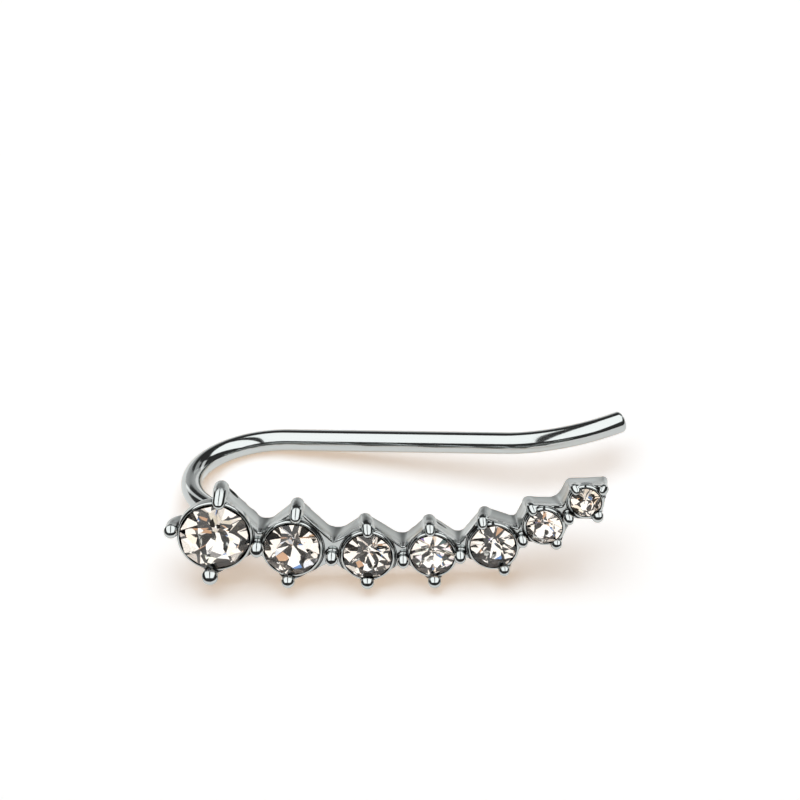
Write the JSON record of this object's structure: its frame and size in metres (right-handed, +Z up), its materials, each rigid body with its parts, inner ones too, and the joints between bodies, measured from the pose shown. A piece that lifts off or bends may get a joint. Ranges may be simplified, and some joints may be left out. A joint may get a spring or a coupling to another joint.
{
  "type": "ear climber earring",
  "caption": "Silver-tone ear climber: a curved row of graduated round glass stones in shared-prong settings, with a long bent ear wire behind it.",
  "frame": {"origin": "middle of the earring's box, on the surface it rests on", "axes": "+X along the row from the large stone to the small one, +Y from the face back to the ear wire, +Z up from the surface it rests on"},
  "size_m": [0.0226, 0.0108, 0.0055],
  "materials": {
    "silver_plate": "mirror-polished rhodium-tone plating on a cast base metal",
    "cut_glass": "clear cut glass with a foiled pointed back that tints the dark facets warm brown"
  },
  "bodies": {
    "root": {"setting_row_with_ear_wire": "silver_plate", "stone_1": "cut_glass", "stone_2": "cut_glass", "stone_3": "cut_glass", "stone_4": "cut_glass", "stone_5": "cut_glass", "stone_6": "cut_glass", "stone_7": "cut_glass"}
  },
  "joints": []
}
